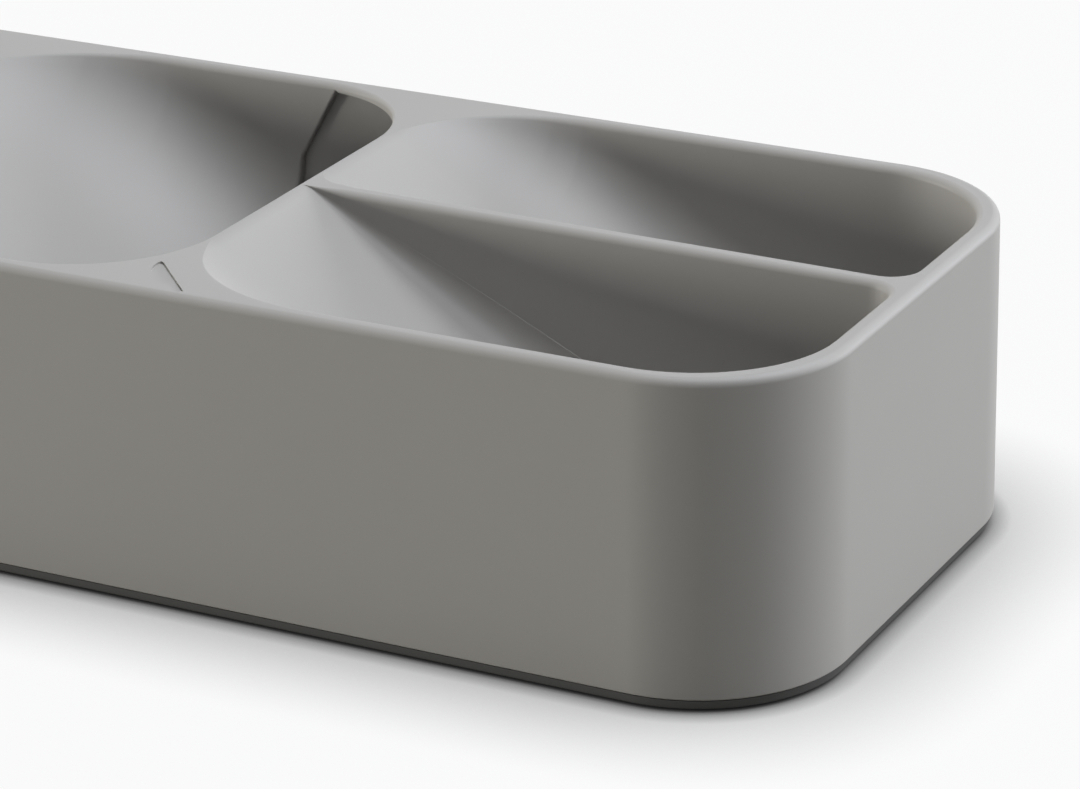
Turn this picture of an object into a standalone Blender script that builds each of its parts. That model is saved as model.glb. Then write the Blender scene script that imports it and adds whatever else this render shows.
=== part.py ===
"""Cutlery drawer organizer: one moulded tray, a flat base panel and six low feet.

The compartments overlap like roof tiles. Each floor starts at the rim, slopes down under an open
pocket, and the pocket reaches in below the next floor, so that handles lie under the next row.
Three rows are full width. The last row is split by a divider and has a short level floor.

Lengths are in metres. Along the tray, x is counted from the left end while the meshes are made,
and every piece is then placed so that the origin is the middle of the footprint on the ground.
"""

import math

import bmesh
import bpy

# Overall sizes of the tray
tray_length = 0.395
tray_width = 0.110
tray_height = 0.055
outer_corner_radius = 0.0258
wall_draft = 0.00045  # the rim stands in from the foot of the wall by this much all round
rim_width = 0.0036
outer_rim_round = 0.00145
inner_rim_round = 0.0013
row_edge_round = 0.0004  # on the edge of the rim plate, over the deep end of a row
wall_foot_round = 0.0003

# Rows of compartments
large_row_count = 3
last_row_length = 0.1131
skin = 0.0015  # thickness of the floors and of the rim plate between two rows
crest_inset = 0.0006  # strip of rim plate left before a floor starts to fall
crest_radius = 0.006
entry_angle = math.radians(6)
start_corner_radius = 0.020
end_corner_radius = 0.0235
toe_gap = 0.0053  # from the foot of a large floor to the next row
toe_height = 0.0035

# Fillets between the floors and the walls: a start, and a share of the depth, up to a largest radius
row_fillet_start = 0.020
row_fillet_share = 0.1
row_fillet_largest = 0.022
end_row_fillet_start = 0.011
end_row_fillet_share = 0.2
end_row_fillet_largest = 0.016
end_wall_fillet = 0.0045
divider_fillet_share = 0.265
divider_fillet_largest = 0.010
divider_end_fillet = 0.0045
shallow_fillet_share = 7.0  # where the floor is shallow, the radius is no more than this many depths

# Divider and level floor of the last row
divider_thickness = 0.0036
divider_start_offset = 0.00215  # towards the far side, where the divider starts
divider_end_offset = 0.00015
divider_corner_radius = 0.005
level_floor = 0.0039
level_floor_start = 0.023  # from the right end of the tray
level_floor_round = 0.010

# Pocket under each floor, and the slanted mouth that opens it to the row before
pocket_side_step = 0.0013  # the pocket is this much wider than the compartment, each side
mouth_top = 0.0210  # from the next row back to the top of the slanted edge
mouth_knee = 0.0284  # from the next row back to where the edge turns steeper
mouth_knee_height = 0.0403
mouth_foot = 0.031  # from the next row back to the foot of the edge, on the floor

# Base panel and feet
foot_show = 0.0007
panel_thickness = 0.0014
panel_inset = 0.0006
panel_edge_round = 0.0003
joint_gap = 0.0003
rib_thickness = 0.0012
rib_height = 0.0035
rib_start = 0.010
rib_headroom = 0.0015
foot_radius = 0.006
foot_edge_round = 0.0003
foot_recess = 0.0006
foot_end_margin = 0.030
foot_side_margin = 0.015
feet_per_side = 3

# Shared by all cuts
overrun = 0.001
lap = 0.0005
pocket_rise = 0.00004  # the pocket's ceiling rises by this much towards the wall where it starts
relief = 0.00005  # the mouth is cut this much fuller than the pocket, so that no two cut faces coincide
weld = 0.000005

# Where the curved stretches are divided, in degrees
start_corner_stops = (20, 30, 40, 52, 64, 77, 90)
end_corner_stops = (0, 12, 24, 36, 47, 58, 68, 79, 90)
outer_corner_segments = 14
crest_segments = 4
round_segments = 3
fillet_segments = 5
foot_segments = 28
least_step = 0.0001
halvings = 24  # when looking for a place on a curve
tangent_step = 0.0001  # share of a curve over which its steepness is taken
rim_edge_share = 0.3  # a shallow edge is rounded by no more than this share of its depth

# Finishes: colour, roughness, metallic
tray_finish = ((0.30, 0.30, 0.285, 1.0), 0.45, 0.0)
panel_finish = ((0.045, 0.046, 0.043, 1.0), 0.6, 0.0)
foot_finish = ((0.02, 0.02, 0.02, 1.0), 0.8, 0.0)

# Worked out from the sizes above
panel_bottom = foot_show
panel_top = panel_bottom + panel_thickness
tray_bottom = panel_top + joint_gap
rim_side = tray_width / 2 - wall_draft
inner_side = rim_side - rim_width
inner_left = wall_draft + rim_width
inner_right = tray_length - wall_draft - rim_width
pocket_side = inner_side + pocket_side_step
below_tray = tray_bottom - overrun
pocket_low = below_tray - overrun
pitch = (tray_length - last_row_length) / large_row_count
row_starts = [pitch * row for row in range(large_row_count + 1)]


class Floor:
    """A compartment floor seen from the side: a rounded crest, then a straight slope to its toe."""

    def __init__(self, crest, toe, foot_height, levels_out=False):
        self.crest = crest
        self.toe = toe
        self.foot_height = foot_height
        self.centre = crest - crest_radius * math.sin(entry_angle)
        self.centre_height = tray_height - crest_radius * math.cos(entry_angle)
        reach = toe - self.centre
        drop = self.centre_height - foot_height
        self.angle = math.atan2(drop, reach) + math.asin(crest_radius / math.hypot(reach, drop))
        self.crest_end = self.centre + crest_radius * math.sin(self.angle)
        blend = level_floor_round * math.tan(self.angle / 2) if levels_out else 0
        self.blend_start = toe - blend * math.cos(self.angle)
        self.blend_end = toe + blend
        self.levels_out = levels_out

    def slope_angle(self, x):
        """How steeply the floor falls at x."""
        if x < self.crest:
            return entry_angle
        if x < self.crest_end:
            return math.asin((x - self.centre) / crest_radius)
        if self.levels_out and x > self.blend_start:
            return math.asin(max(self.blend_end - x, 0) / level_floor_round)
        return self.angle

    def height(self, x):
        """Height of the floor at x, carried on above the rim in front of the crest."""
        angle = self.slope_angle(x)
        if x < self.crest:
            return tray_height + (self.crest - x) * math.tan(angle)
        if x < self.crest_end:
            return self.centre_height + crest_radius * math.cos(angle)
        if self.levels_out and x > self.blend_start:
            return self.foot_height + level_floor_round * (1 - math.cos(angle))
        return self.foot_height + (self.toe - x) * math.tan(angle)

    def underside(self, x):
        """Height of the lower face of the floor and of the rim plate before it."""
        inner_radius = crest_radius - skin
        if x < self.centre + inner_radius * math.sin(self.angle):
            across = max(x - self.centre, 0)
            arc = self.centre_height + math.sqrt(inner_radius**2 - across**2)
            return min(arc, tray_height - skin)
        line = self.foot_height + (self.toe - x) * math.tan(self.angle)
        return line - skin / math.cos(self.angle)

    def where_deep(self, depth):
        """The x at which the straight slope lies this deep below the rim."""
        return self.toe - (tray_height - depth - self.foot_height) / math.tan(self.angle)

    def where_underside(self, height):
        """The x at which the lower face of the straight slope is this high."""
        above = height + skin / math.cos(self.angle) - self.foot_height
        return self.toe - above / math.tan(self.angle)


class Fillet:
    """A fillet that grows with the depth of the floor below the rim."""

    def __init__(self, start, share, largest):
        self.start = start
        self.share = share
        self.largest = largest

    def radius(self, depth):
        return min(self.largest, self.start + self.share * depth, shallow_fillet_share * depth)

    def turns(self):
        """The depths at which the radius begins to grow by another rule."""
        shallow = self.start / (shallow_fillet_share - self.share)
        return shallow, self.start / (1 - self.share), (self.largest - self.start) / self.share


class Side:
    """One long wall of a compartment in plan, between a start corner and an end corner."""

    def __init__(self, face, toward, start, end, start_radius, end_radius, fillet, end_face=None):
        self.face = face
        self.end_face = face if end_face is None else end_face
        self.toward = toward
        self.start = start
        self.end = end
        self.start_radius = start_radius
        self.end_radius = end_radius
        self.fillet = fillet
        self.end_fillet = fillet.largest
        self.end_edge = inner_rim_round

    def outline(self, x):
        """The wall's y at x, and the direction into the compartment."""
        face = self.face + (self.end_face - self.face) * (x - self.start) / (self.end - self.start)
        before = self.start + self.start_radius - x
        after = x - (self.end - self.end_radius)
        if self.start_radius > 0 and before > 0:
            along = min(before / self.start_radius, 1)
            radius = self.start_radius
            inward = along
        elif after > 0:
            along = min(after / self.end_radius, 1)
            radius = self.end_radius
            inward = -along
        else:
            return face, (0, -self.toward)
        across = math.sqrt(1 - along**2)
        return face - self.toward * radius * (1 - across), (inward, -self.toward * across)

    def fillet_limit(self, x):
        """The largest fillet at x, which falls towards the end wall."""
        fade_start = self.end - end_corner_radius
        fade_end = self.end - (self.end_radius if self.end_radius < end_corner_radius else 0)
        part = min(max((x - fade_start) / (fade_end - fade_start), 0), 1)
        return self.fillet.largest + part * (self.end_fillet - self.fillet.largest)


def bezier(points, part):
    """The point of a cubic curve through four control points in a plane."""
    weights = ((1 - part) ** 3, 3 * part * (1 - part) ** 2, 3 * part**2 * (1 - part), part**3)
    return tuple(sum(w * p[axis] for w, p in zip(weights, points)) for axis in range(2))


def part_at(curve, height):
    """How far along a falling curve it passes a height; 0 where the curve starts lower."""
    low, high = 0, 1
    if curve[0][1] > height:
        for _ in range(halvings):
            middle = (low + high) / 2
            if bezier(curve, middle)[1] > height:
                low = middle
            else:
                high = middle
    return low


def steepness(curve, part):
    """The angle at which a falling curve falls, part of the way along it."""
    across, up = bezier(curve, part)
    next_across, next_up = bezier(curve, part + tangent_step)
    return math.atan2(up - next_up, next_across - across)


def wall_profile(floor, side, x, lift):
    """Points from above the rim down one wall and round its fillet to the floor, at one station.

    Where the floor is shallower than the fillet, the rim cuts the fillet off, so that the wall leaves
    the rim at a gentle angle.
    """
    y, (in_x, in_y) = side.outline(x)
    height = floor.height(x) + lift
    depth = tray_height - height
    if depth <= 0:
        return [(x, y, tray_height + overrun)] + [(x, y, height)] * (round_segments + fillet_segments + 2)
    radius = min(side.fillet_limit(x), side.fillet.radius(depth))
    fall = math.atan(math.tan(floor.slope_angle(x)) * max(in_x, 0))
    reach = radius * (1 - math.sin(fall))
    top = height + reach / math.cos(fall)
    foot = floor.height(x + in_x * reach) + lift
    fall_there = math.atan(math.tan(floor.slope_angle(x + in_x * reach)) * max(in_x, 0))
    pull = 4 / 3 * math.tan((math.radians(90) - fall) / 4) * radius
    foot_pull = (reach - pull * math.cos(fall_there), foot + pull * math.sin(fall_there))
    curve = ((0, top), (0, top - pull), foot_pull, (reach, foot))
    cut = part_at(curve, tray_height)
    steep = steepness(curve, cut)
    rim_round = inner_rim_round + (side.end_edge - inner_rim_round) * max(-in_x, 0)
    edge = min(rim_round * math.tan(steep / 2), rim_edge_share * depth / math.sin(steep))
    corner = (bezier(curve, cut)[0], tray_height)
    edge_foot = tray_height - edge * math.sin(steep)
    below = part_at(curve, edge_foot)
    bend = 4 / 3 * math.tan(steep / 4) / math.tan(steep / 2)
    ends = ((corner[0] - edge, tray_height), (bezier(curve, below)[0], edge_foot))
    pulls = [tuple(e + bend * (c - e) for e, c in zip(end, corner)) for end in ends]
    rim_curve = (ends[0], *pulls, ends[1])
    points = [(ends[0][0], tray_height + overrun)]
    points += [bezier(rim_curve, step / round_segments) for step in range(round_segments + 1)]
    parts = [below + (1 - below) * step / fillet_segments for step in range(fillet_segments + 1)]
    points += [bezier(curve, part) for part in parts]
    return [(x + in_x * inward, y + in_y * inward, z) for inward, z in points]


def pocket_profile(floor, toward, x, half_width, fillet):
    """Points up one side of the space under a floor and in along the underside of its fillet."""
    radius = fillet.radius(max(tray_height - floor.height(x), 0))
    drop = skin / math.cos(floor.slope_angle(x))
    wall_angle = math.asin((radius + pocket_side_step) / (radius + skin))
    headroom = tray_height - skin + pocket_rise - floor.underside(x)
    rise = min(radius + drop, headroom / (1 - math.cos(wall_angle)))
    points = [(x, toward * half_width, pocket_low)]
    for step in range(fillet_segments + 1):
        angle = wall_angle * (1 - step / fillet_segments)
        y = half_width - pocket_side_step - radius + (radius + skin) * math.sin(angle)
        z = floor.underside(x) + rise * (1 - math.cos(angle))
        points.append((x, toward * y, z))
    return points


def reach_mouth(points, floor, slope):
    """Moves the points of a pocket's last section that lie above the floor on to the slanted mouth."""
    moved = []
    for x, y, z in points:
        above = z - floor.height(x)
        along = max((above + slope * lap) / (slope + math.tan(floor.angle)), 0) if above > -skin else 0
        moved.append((x + along, y, z - along * math.tan(floor.angle)))
    return moved


def new_object(name, mesh, collection):
    piece = bpy.data.objects.new(name, mesh)
    collection.objects.link(piece)
    piece.location.x = -tray_length / 2
    return piece


def mesh_from(name, bm):
    mesh = bpy.data.meshes.new(name)
    bm.to_mesh(mesh)
    bm.free()
    return mesh


def as_cutter(name, bm, collection):
    piece = new_object(name, mesh_from(name, bm), collection)
    piece.hide_render = True
    piece.display_type = "WIRE"
    return piece


def loft_between(name, side_a, side_b, collection, flat_ends=False):
    """A closed cutter between two walls, each a list of sections with as many points."""
    bm = bmesh.new()
    a, b = ([[bm.verts.new(point) for point in section] for section in side] for side in (side_a, side_b))
    last = len(a) - 1
    for j in range(last):
        for side in (a, b):
            for k in range(len(side[j]) - 1):
                bm.faces.new((side[j][k], side[j + 1][k], side[j + 1][k + 1], side[j][k + 1]))
        for k in (0, -1):
            bm.faces.new((a[j][k], a[j + 1][k], b[j + 1][k], b[j][k]))
    for j in (0, last):
        if flat_ends:
            bm.faces.new(a[j] + b[j][::-1])
            continue
        for k in range(len(a[j]) - 1):
            bm.faces.new((a[j][k], a[j][k + 1], b[j][k + 1], b[j][k]))
    bmesh.ops.remove_doubles(bm, verts=bm.verts, dist=weld)
    bmesh.ops.recalc_face_normals(bm, faces=bm.faces)
    return as_cutter(name, bm, collection)


def prism(name, outline, half_width, collection):
    """A closed cutter from an outline in the side view, carried from side to side."""
    bm = bmesh.new()
    face = bm.faces.new([bm.verts.new((x, -half_width, z)) for x, z in outline])
    carried = bmesh.ops.extrude_face_region(bm, geom=[face])["geom"]
    corners = [item for item in carried if isinstance(item, bmesh.types.BMVert)]
    bmesh.ops.translate(bm, verts=corners, vec=(0, 2 * half_width, 0))
    bmesh.ops.recalc_face_normals(bm, faces=bm.faces)
    return as_cutter(name, bm, collection)


def rounded_block(length, width, low, high, draft, corner_radius):
    """A block with rounded upright edges whose top stands in by the draft; its left end is at x = 0."""
    bm = bmesh.new()
    bmesh.ops.create_cube(bm, size=1)
    for vert in bm.verts:
        inset = draft if vert.co.z > 0 else 0
        vert.co.x = inset if vert.co.x < 0 else length - inset
        vert.co.y = math.copysign(width / 2 - inset, vert.co.y)
        vert.co.z = high if vert.co.z > 0 else low
    uprights = [edge for edge in bm.edges if edge.verts[0].co.z != edge.verts[1].co.z]
    bevel(bm, uprights, corner_radius, outer_corner_segments)
    return bm


def bevel(bm, edges, radius, segments):
    bmesh.ops.bevel(
        bm,
        geom=edges,
        offset=radius,
        offset_type="OFFSET",
        segments=segments,
        profile=0.5,
        affect="EDGES",
        clamp_overlap=True,
    )


def edges_at(bm, height):
    """The edges round the flat face at this height."""
    return [edge for edge in bm.edges if all(abs(vert.co.z - height) < weld for vert in edge.verts)]


def boolean(piece, cutter, operation="DIFFERENCE"):
    modifier = piece.modifiers.new(cutter.name, "BOOLEAN")
    modifier.object = cutter
    modifier.operation = operation
    modifier.solver = "EXACT"


def finish(piece, name, look):
    colour, roughness, metallic = look
    material = bpy.data.materials.get(name) or bpy.data.materials.new(name)
    material.use_nodes = True
    shader = material.node_tree.nodes["Principled BSDF"]
    shader.inputs["Base Color"].default_value = colour
    shader.inputs["Roughness"].default_value = roughness
    shader.inputs["Metallic"].default_value = metallic
    material.diffuse_color = colour
    piece.data.materials.clear()
    piece.data.materials.append(material)


row_fillet = Fillet(row_fillet_start, row_fillet_share, row_fillet_largest)
end_row_fillet = Fillet(end_row_fillet_start, end_row_fillet_share, end_row_fillet_largest)
divider_fillet = Fillet(0, divider_fillet_share, divider_fillet_largest)


def large_floor(row):
    start = row_starts[row]
    crest = inner_left if row == 0 else start + crest_inset
    return Floor(crest, row_starts[row + 1] - toe_gap, toe_height)


def last_floor():
    start = row_starts[-1]
    return Floor(start + crest_inset, tray_length - level_floor_start, level_floor, levels_out=True)


def stations(floor, end, start_radius, fillets):
    """Places along a compartment where its corners, its crest and its fillets are divided."""
    start = floor.crest
    places = [start - lap]
    places += [start + start_radius * (1 - math.cos(math.radians(stop))) for stop in start_corner_stops]
    first = end - end_corner_radius
    places += [first + end_corner_radius * math.sin(math.radians(stop)) for stop in end_corner_stops]
    crest_run = floor.crest_end - start
    places += [start + crest_run * (step + 1) / crest_segments for step in range(crest_segments)]
    turns = [floor.where_deep(depth) for fillet in fillets for depth in fillet.turns()]
    return places + [place for place in turns if floor.crest_end < place < end]


def spread(places):
    """The places in order, without those that nearly coincide."""
    kept = []
    for place in sorted(places):
        if not kept or place - kept[-1] > least_step:
            kept.append(place)
    return kept


def large_compartment(row, floor, collection):
    """The space of a full-width compartment above its floor."""
    end = row_starts[row + 1]
    start_radius = end_corner_radius if row == 0 else start_corner_radius
    sides = [
        Side(toward * inner_side, toward, floor.crest, end, start_radius, end_corner_radius, row_fillet)
        for toward in (-1, 1)
    ]
    for side in sides:
        side.end_edge = row_edge_round
    foot = end - mouth_foot
    places = stations(floor, end, start_radius, [row_fillet]) + [foot, foot + overrun]
    sections = [
        [wall_profile(floor, side, x, joint_gap if x > foot + weld else 0) for x in spread(places)]
        for side in sides
    ]
    return loft_between(f"compartment_{row + 1}_space", *sections, collection)


def small_compartment(name, toward, floor, collection):
    """The space of one of the two compartments beside the divider."""
    start, end = floor.crest, inner_right
    start_face = divider_start_offset + toward * divider_thickness / 2
    end_face = divider_end_offset + toward * divider_thickness / 2
    corner = start_corner_radius
    outer = Side(toward * inner_side, toward, start, end, corner, end_corner_radius, end_row_fillet)
    outer.end_fillet = end_wall_fillet
    corner = divider_corner_radius
    start_corner = corner if toward > 0 else 0
    inner = Side(start_face, -toward, start, end, start_corner, corner, divider_fillet, end_face)
    inner.end_fillet = divider_end_fillet
    places = stations(floor, end, start_corner_radius, [end_row_fillet, divider_fillet])
    places += [floor.blend_start, floor.toe, floor.blend_end]
    sections = [[wall_profile(floor, side, x, 0) for x in spread(places)] for side in (outer, inner)]
    return loft_between(f"{name}_small_space", *sections, collection)


def mouth(row, floor, collection):
    """The slanted opening at the deep end of a full-width compartment, down to the base."""
    end = row_starts[row + 1]
    foot = end - mouth_foot
    under_plate = tray_height - skin + relief
    outline = (
        (end - mouth_knee, mouth_knee_height),
        (foot, floor.height(foot)),
        (floor.toe, floor.foot_height),
        (floor.toe, below_tray),
        (end + lap, below_tray),
        (end + lap, under_plate),
        (end - mouth_top, under_plate),
    )
    return prism(f"mouth_{row + 1}", outline, pocket_side + relief, collection)


def pocket(row, floor, collection):
    """The space under a floor, as one or two cutters: past the mouth's foot the floor is flat below."""
    stop = floor.where_underside(below_tray)
    start = row_starts[row] + lap / 2 if row else inner_left
    full_row = row < large_row_count
    end = row_starts[row + 1] - mouth_foot if full_row else stop
    fillet = row_fillet if full_row else end_row_fillet
    places = [start, floor.crest_end, end]
    places += [floor.where_deep(depth) for depth in fillet.turns()]
    wall = Side(pocket_side, 1, start, tray_length, end_corner_radius, end_corner_radius, fillet)
    if row == 0:
        places += [
            start + end_corner_radius * (1 - math.cos(math.radians(stop_angle)))
            for stop_angle in start_corner_stops
        ]
    sections = []
    for toward in (-1, 1):
        side = []
        for x in spread(place for place in places if place <= end):
            half_width = wall.outline(x)[0] if row == 0 else pocket_side
            side.append(pocket_profile(floor, toward, x, half_width, fillet))
        sections.append(side)
    if not full_row:
        return [loft_between(f"pocket_{row + 1}", *sections, collection, flat_ends=True)]
    slope = (mouth_knee_height - floor.height(end)) / (mouth_foot - mouth_knee)
    for side in sections:
        side[-1] = reach_mouth(side[-1], floor, slope)
    top = floor.underside(end)
    tip = [
        [
            [(end - lap, toward * (pocket_side - lap), z) for z in (below_tray, top - lap)],
            [(end, toward * pocket_side, z) for z in (below_tray, top)],
            [(stop, toward * pocket_side, below_tray)] * 2,
        ]
        for toward in (-1, 1)
    ]
    return [
        loft_between(f"pocket_{row + 1}", *sections, collection, flat_ends=True),
        loft_between(f"pocket_{row + 1}_tip", *tip, collection),
    ]


def tray(parts, cutters):
    """The moulded tray: the outer block less its compartments, mouths and pockets."""
    bm = rounded_block(tray_length, tray_width, tray_bottom, tray_height, wall_draft, outer_corner_radius)
    bevel(bm, edges_at(bm, tray_height), outer_rim_round, round_segments)
    bevel(bm, edges_at(bm, tray_bottom), wall_foot_round, 1)
    body = new_object("tray_body", mesh_from("tray_body", bm), parts)
    floors = [large_floor(row) for row in range(large_row_count)] + [last_floor()]
    for row, floor in enumerate(floors[:-1]):
        boolean(body, large_compartment(row, floor, cutters))
        boolean(body, mouth(row, floor, cutters))
    boolean(body, small_compartment("near", -1, floors[-1], cutters))
    boolean(body, small_compartment("far", 1, floors[-1], cutters))
    for row, floor in enumerate(floors):
        for cutter in pocket(row, floor, cutters):
            boolean(body, cutter)
    finish(body, "warm_grey_plastic", tray_finish)
    return floors


def box(bm, low, high):
    """Adds a box between two corners."""
    made = bmesh.ops.create_cube(bm, size=1)["verts"]
    for vert in made:
        vert.co = [high[axis] if vert.co[axis] > 0 else low[axis] for axis in range(3)]


def foot_places():
    """The name and the centre of each foot, counted from the left end."""
    across = tray_width / 2 - foot_side_margin
    run = tray_length - 2 * foot_end_margin
    for side_name, y in (("near", -across), ("far", across)):
        for index in range(feet_per_side):
            yield f"foot_{side_name}_{index + 1}", foot_end_margin + run * index / (feet_per_side - 1), y


def base_panel(floors, parts, cutters):
    """The flat panel under the tray, with upright ribs inside the pockets and seats for the feet."""
    width = tray_width - 2 * panel_inset
    length = tray_length - 2 * panel_inset
    bm = rounded_block(length, width, panel_bottom, panel_top, 0, outer_corner_radius - panel_inset)
    bevel(bm, edges_at(bm, panel_bottom), panel_edge_round, 2)
    panel = new_object("base_panel", mesh_from("base_panel", bm), parts)
    panel.location.x += panel_inset
    ribs = bmesh.new()
    for row, floor in enumerate(floors):
        start = row_starts[row] + (outer_corner_radius if row == 0 else rib_start)
        end = floor.where_underside(panel_top + rib_height + rib_headroom)
        for toward in (-1, 1):
            outer = toward * (pocket_side - joint_gap)
            inner = outer - toward * rib_thickness
            low = (start, min(outer, inner), panel_top - panel_thickness / 2)
            box(ribs, low, (end, max(outer, inner), panel_top + rib_height))
    boolean(panel, as_cutter("panel_ribs", ribs, cutters), "UNION")
    seats = bmesh.new()
    depth = foot_recess + overrun
    for _, x, y in foot_places():
        made = bmesh.ops.create_cone(
            seats,
            cap_ends=True,
            segments=foot_segments,
            radius1=foot_radius + joint_gap,
            radius2=foot_radius + joint_gap,
            depth=depth,
        )["verts"]
        bmesh.ops.translate(seats, verts=made, vec=(x, y, panel_bottom + foot_recess - depth / 2))
    boolean(panel, as_cutter("foot_seats", seats, cutters))
    finish(panel, "dark_grey_plastic", panel_finish)


def feet(parts):
    """Low round feet, turned, with a rounded lower edge."""
    top = panel_bottom + foot_recess - joint_gap
    for name, x, y in foot_places():
        bm = bmesh.new()
        inner = foot_radius - foot_edge_round
        profile = [(0, top), (foot_radius, top), (foot_radius, foot_edge_round)]
        for step in range(1, round_segments + 1):
            angle = math.radians(90) * step / round_segments
            drop = foot_edge_round * math.sin(angle)
            profile.append((inner + foot_edge_round * math.cos(angle), foot_edge_round - drop))
        profile.append((0, 0))
        verts = [bm.verts.new((radius, 0, height)) for radius, height in profile]
        for first, second in zip(verts, verts[1:]):
            bm.edges.new((first, second))
        foot = new_object(name, mesh_from(name, bm), parts)
        foot.location.x += x
        foot.location.y = y
        turn = foot.modifiers.new("turn", "SCREW")
        turn.steps = foot_segments
        turn.render_steps = foot_segments
        turn.use_merge_vertices = True
        turn.merge_threshold = weld
        finish(foot, "black_rubber", foot_finish)


def main():
    for old in list(bpy.data.objects):
        bpy.data.objects.remove(old, do_unlink=True)
    parts = bpy.data.collections.new("cutlery_drawer_organizer")
    cutters = bpy.data.collections.new("cutters")
    for collection in (parts, cutters):
        bpy.context.scene.collection.children.link(collection)
    floors = tray(parts, cutters)
    base_panel(floors, parts, cutters)
    feet(parts)


main()
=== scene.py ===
"""Looks of a cutlery drawer organizer: one moulded tray, a dark base panel and six low feet.

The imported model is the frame. Its plain solids are replaced here by finer meshes of the same
sizes, with procedural finishes, and shown on white paper under soft studio light.

Lengths are in metres. While a mesh of the tray is made, x is counted from the left end of the
tray. Finished meshes lie in the frame of the model, whose origin is the middle of the footprint.
"""

import logging
import math
from dataclasses import dataclass, field, replace
from enum import Enum
from typing import Iterable, Sequence

import bmesh
import bpy
from mathutils import Matrix, Vector


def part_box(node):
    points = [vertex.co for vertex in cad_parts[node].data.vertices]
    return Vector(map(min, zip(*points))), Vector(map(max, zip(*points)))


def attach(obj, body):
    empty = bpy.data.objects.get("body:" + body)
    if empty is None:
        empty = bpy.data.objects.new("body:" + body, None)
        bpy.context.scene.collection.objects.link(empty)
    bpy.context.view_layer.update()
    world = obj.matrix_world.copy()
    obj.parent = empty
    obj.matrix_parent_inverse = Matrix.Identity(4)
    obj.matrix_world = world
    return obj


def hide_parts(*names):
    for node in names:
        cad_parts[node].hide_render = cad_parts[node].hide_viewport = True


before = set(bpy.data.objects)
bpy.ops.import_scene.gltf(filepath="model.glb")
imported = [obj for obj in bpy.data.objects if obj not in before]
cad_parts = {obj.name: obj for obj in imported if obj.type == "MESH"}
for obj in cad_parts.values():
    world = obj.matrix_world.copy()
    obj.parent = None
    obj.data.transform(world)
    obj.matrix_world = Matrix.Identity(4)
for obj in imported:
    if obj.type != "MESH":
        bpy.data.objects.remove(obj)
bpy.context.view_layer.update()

Point = tuple[float, float, float]
FlatPoint = tuple[float, float]
Section = list[Point]
Colour = tuple[float, float, float]
Value = bpy.types.NodeSocket | float  # what a node gives, or a plain number

log = logging.getLogger("organizer")

WELD = 0.000004  # corners nearer than this are one
QUARTER = math.radians(90)
SHARP_ANGLE = math.radians(32)  # edges that turn more than this stay sharp
HALVINGS = 30  # when looking for a place on a curve
TANGENT_STEP = 0.0001  # share of a curve over which its steepness is taken
ARC_PULL = 4 / 3  # a cubic follows an arc with its pulls this times the tangent of a quarter of the turn
ROUND_WEIGHT = math.sqrt(0.5)  # a square curve with this middle weight is a quarter of a circle
LAMP_POWER = 10.0  # watts of a lamp of strength 1 that hangs a metre away


class Toward(Enum):
    """The long side of the tray that a wall or an edge lies on."""

    NEAR = -1
    FAR = 1


class FloorEnd(Enum):
    """How a compartment floor ends at its deep end."""

    TOE = "toe"
    LEVEL = "level"


class Utensil(Enum):
    """The pictograms sunk into the rim plates."""

    KNIFE = "knife"
    FORK = "fork"
    SPOON = "spoon"


class Carving(Enum):
    """What is done with the cutters of a body."""

    TAKE_AWAY = "DIFFERENCE"
    ADD = "UNION"


class Sum(Enum):
    """What a node makes of two values."""

    PRODUCT = "MULTIPLY"
    LARGER = "MAXIMUM"
    POWER = "POWER"


def smoothstep(part: float) -> float:
    """Eases a share between 0 and 1."""
    part = min(max(part, 0.0), 1.0)
    return part * part * (3 - 2 * part)


def stops(start: float, end: float, count: int) -> list[float]:
    """Evenly spaced values from start to end, both included."""
    return [start + (end - start) * index / count for index in range(count + 1)]


def spread(places: Iterable[float], least: float) -> list[float]:
    """Sorts places and leaves out those that lie too near the one before.

    Args:
        places: the places along the tray.
        least: the least distance between two that are kept.

    Returns:
        The places kept, in order.
    """
    kept: list[float] = []
    for place in sorted(places):
        if not kept or place - kept[-1] > least:
            kept.append(place)
    return kept


def bezier(points: Sequence[FlatPoint], part: float) -> FlatPoint:
    """The point of a cubic curve through four control points in a plane."""
    weights = ((1 - part) ** 3, 3 * part * (1 - part) ** 2, 3 * part**2 * (1 - part), part**3)
    return tuple(sum(w * p[axis] for w, p in zip(weights, points)) for axis in range(2))


def part_at(curve: Sequence[FlatPoint], height: float) -> float:
    """How far along a falling curve it passes a height; 0 where the curve starts lower.

    Args:
        curve: its four control points, as distance and height.
        height: the height.

    Returns:
        The share of the curve, from 0 to 1.
    """
    low, high = 0.0, 1.0
    if curve[0][1] > height:
        for _ in range(HALVINGS):
            middle = (low + high) / 2
            if bezier(curve, middle)[1] > height:
                low = middle
            else:
                high = middle
    return low


def steepness(curve: Sequence[FlatPoint], part: float) -> float:
    """The angle at which a falling curve falls, part of the way along it.

    Args:
        curve: its four control points, as distance and height.
        part: the share of the curve, from 0 to 1.

    Returns:
        The angle below the level.
    """
    across, up = bezier(curve, part)
    next_across, next_up = bezier(curve, part + TANGENT_STEP)
    return math.atan2(up - next_up, next_across - across)


def mesh_of(name: str, bm: bmesh.types.BMesh) -> bpy.types.Mesh:
    """Writes a working mesh to a new mesh and frees it.

    Args:
        name: the new mesh's name.
        bm: the working mesh.

    Returns:
        The new mesh.
    """
    mesh = bpy.data.meshes.new(name)
    bm.to_mesh(mesh)
    bm.free()
    return mesh


def object_of(name: str, mesh: bpy.types.Mesh) -> bpy.types.Object:
    """Links a new object that shows a mesh.

    Args:
        name: the object's name.
        mesh: the mesh.

    Returns:
        The object.
    """
    made = bpy.data.objects.new(name, mesh)
    bpy.context.scene.collection.objects.link(made)
    return made


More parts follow.
